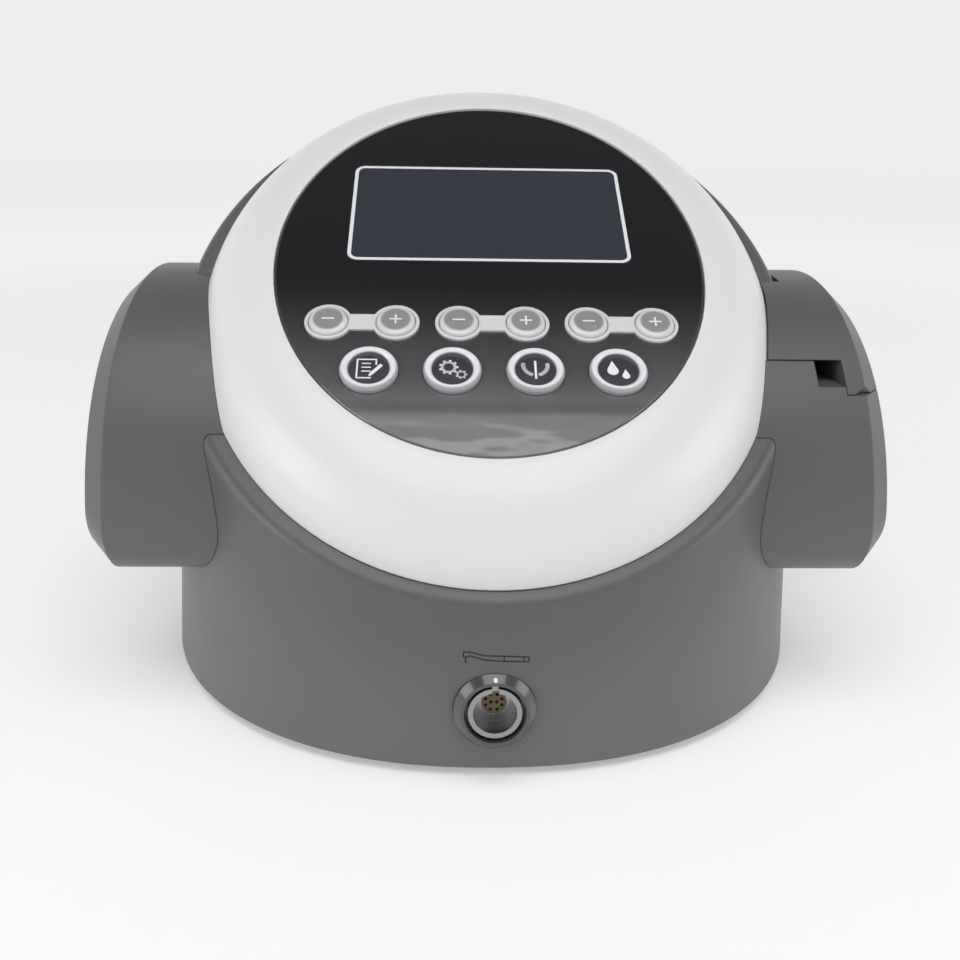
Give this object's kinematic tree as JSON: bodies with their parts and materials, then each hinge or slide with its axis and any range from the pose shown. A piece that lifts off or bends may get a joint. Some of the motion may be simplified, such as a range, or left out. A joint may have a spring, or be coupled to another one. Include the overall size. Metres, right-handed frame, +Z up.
{
  "type": "surgical motor console",
  "caption": "Table-top dental motor console: domed case, tilted key panel with display, front handpiece socket and a lidded peristaltic coolant pump at one side.",
  "frame": {"origin": "on the table, at the centre of the footprint of the whole console", "axes": "+X to the user's right, +Y to the rear, +Z up; the face panel tilts 33.5 degrees towards the user"},
  "size_m": [0.2472, 0.2238, 0.1882],
  "materials": {
    "grey_housing": "satin grey ABS",
    "white_cover": "satin white ABS",
    "gasket": "matt",
    "black_panel": "high gloss",
    "lens": "clear, dark behind",
    "display": "dark display glass in a frame",
    "board": "solder resist",
    "switch": "moulded",
    "key_plate": "translucent light grey",
    "step_key": "translucent grey",
    "round_key": "clear rim, dark centre",
    "base": "black paint",
    "steel": "machined",
    "dark_metal": "glossy dark grey",
    "insulator": "moulded",
    "gold_contact": "plated",
    "brass": "turned",
    "foot_rubber": "matt",
    "roller_plastic": "acetal",
    "black_plastic": "moulded",
    "motor_steel": "plated",
    "glass": "clear tube"
  },
  "bodies": {
    "console": {"lower_housing": "grey_housing", "left_pod_cover": "grey_housing", "pump_housing": "grey_housing", "top_cover": "white_cover", "seam_gasket": "gasket", "face_panel": "black_panel", "display_lens": "lens", "lcd_module": "display", "keypad_board": "board", "key_switches": "switch", "main_board": "board", "base_plate": "base", "rubber_feet": "foot_rubber", "base_screws": "steel", "pump_lid_pins": "steel", "pump_motor": "motor_steel", "rotor_bearing": "steel", "motor_bracket": "steel", "bracket_spacers": "steel", "socket_flange": "dark_metal", "socket_shell": "steel", "socket_insert": "insulator", "socket_contacts": "gold_contact", "socket_nut": "steel", "rear_panel": "black_plastic", "rear_panel_screws": "steel", "mains_inlet": "black_plastic", "inlet_pins": "brass", "fuse_holder": "black_plastic", "rocker_frame": "black_plastic", "foot_control_socket": "steel", "ground_post": "brass", "pole_holder": "steel", "board_standoffs": "brass", "beeper": "black_plastic", "power_supply": "motor_steel", "program_key_plate": "key_plate", "speed_key_plate": "key_plate", "torque_key_plate": "key_plate"},
    "program_minus_key": {"program_minus_key": "step_key"},
    "program_plus_key": {"program_plus_key": "step_key"},
    "speed_minus_key": {"speed_minus_key": "step_key"},
    "speed_plus_key": {"speed_plus_key": "step_key"},
    "torque_minus_key": {"torque_minus_key": "step_key"},
    "torque_plus_key": {"torque_plus_key": "step_key"},
    "memory_key": {"memory_key": "round_key"},
    "gear_key": {"gear_key": "round_key"},
    "direction_key": {"direction_key": "round_key"},
    "coolant_key": {"coolant_key": "round_key"},
    "pump_lid": {"pump_lid": "grey_housing"},
    "rotor": {"pump_rotor": "steel", "roller_pins": "steel", "rotor_gear": "black_plastic"},
    "lower_roller": {"lower_roller": "roller_plastic"},
    "rear_roller": {"rear_roller": "roller_plastic"},
    "front_roller": {"front_roller": "roller_plastic"},
    "motor_pinion": {"motor_pinion": "brass"},
    "power_rocker": {"power_rocker": "black_plastic"},
    "fuse_drawer": {"fuse_drawer": "black_plastic", "fuses": "glass"}
  },
  "joints": [
    {"name": "program_minus_key_press", "type": "slide", "parent": "console", "child": "program_minus_key", "axis": [0, 0.5519, -0.8339], "range_m": [0, 0.0007], "stiffness_N_per_m": 600},
    {"name": "program_plus_key_press", "type": "slide", "parent": "console", "child": "program_plus_key", "axis": [0, 0.5519, -0.8339], "range_m": [0, 0.0007], "stiffness_N_per_m": 600},
    {"name": "speed_minus_key_press", "type": "slide", "parent": "console", "child": "speed_minus_key", "axis": [0, 0.5519, -0.8339], "range_m": [0, 0.0007], "stiffness_N_per_m": 600},
    {"name": "speed_plus_key_press", "type": "slide", "parent": "console", "child": "speed_plus_key", "axis": [0, 0.5519, -0.8339], "range_m": [0, 0.0007], "stiffness_N_per_m": 600},
    {"name": "torque_minus_key_press", "type": "slide", "parent": "console", "child": "torque_minus_key", "axis": [0, 0.5519, -0.8339], "range_m": [0, 0.0007], "stiffness_N_per_m": 600},
    {"name": "torque_plus_key_press", "type": "slide", "parent": "console", "child": "torque_plus_key", "axis": [0, 0.5519, -0.8339], "range_m": [0, 0.0007], "stiffness_N_per_m": 600},
    {"name": "memory_key_press", "type": "slide", "parent": "console", "child": "memory_key", "axis": [0, 0.5519, -0.8339], "range_m": [0, 0.0007], "stiffness_N_per_m": 800},
    {"name": "gear_key_press", "type": "slide", "parent": "console", "child": "gear_key", "axis": [0, 0.5519, -0.8339], "range_m": [0, 0.0007], "stiffness_N_per_m": 800},
    {"name": "direction_key_press", "type": "slide", "parent": "console", "child": "direction_key", "axis": [0, 0.5519, -0.8339], "range_m": [0, 0.0007], "stiffness_N_per_m": 800},
    {"name": "coolant_key_press", "type": "slide", "parent": "console", "child": "coolant_key", "axis": [0, 0.5519, -0.8339], "range_m": [0, 0.0007], "stiffness_N_per_m": 800},
    {"name": "pump_lid_hinge", "type": "hinge", "parent": "console", "child": "pump_lid", "pos_m": [0.1, 0.0675, 0.106], "axis": [-1, 0, 0], "range_deg": [0, 90]},
    {"name": "rotor_spin", "type": "hinge", "parent": "console", "child": "rotor", "pos_m": [0.1, 0.0155, 0.076], "axis": [1, 0, 0], "continuous": true},
    {"name": "lower_roller_spin", "type": "hinge", "parent": "rotor", "child": "lower_roller", "pos_m": [0.106, 0.0155, 0.057], "axis": [1, 0, 0], "continuous": true},
    {"name": "rear_roller_spin", "type": "hinge", "parent": "rotor", "child": "rear_roller", "pos_m": [0.106, 0.03195, 0.0855], "axis": [1, 0, 0], "continuous": true},
    {"name": "front_roller_spin", "type": "hinge", "parent": "rotor", "child": "front_roller", "pos_m": [0.106, -0.00095, 0.0855], "axis": [1, 0, 0], "continuous": true},
    {"name": "pinion_spin", "type": "hinge", "parent": "console", "child": "motor_pinion", "pos_m": [0.08, 0.0155, 0.048], "axis": [1, 0, 0], "continuous": true},
    {"name": "rocker_tilt", "type": "hinge", "parent": "console", "child": "power_rocker", "pos_m": [0.0045, 0.0895, 0.0445], "axis": [1, 0, 0], "range_deg": [-12, 0]},
    {"name": "fuse_drawer_slide", "type": "slide", "parent": "console", "child": "fuse_drawer", "axis": [0, 1, 0], "range_m": [0, 0.02]}
  ],
  "couplings": [
    {"joint": "pinion_spin", "follows": "rotor_spin", "ratio": -2.5}
  ]
}
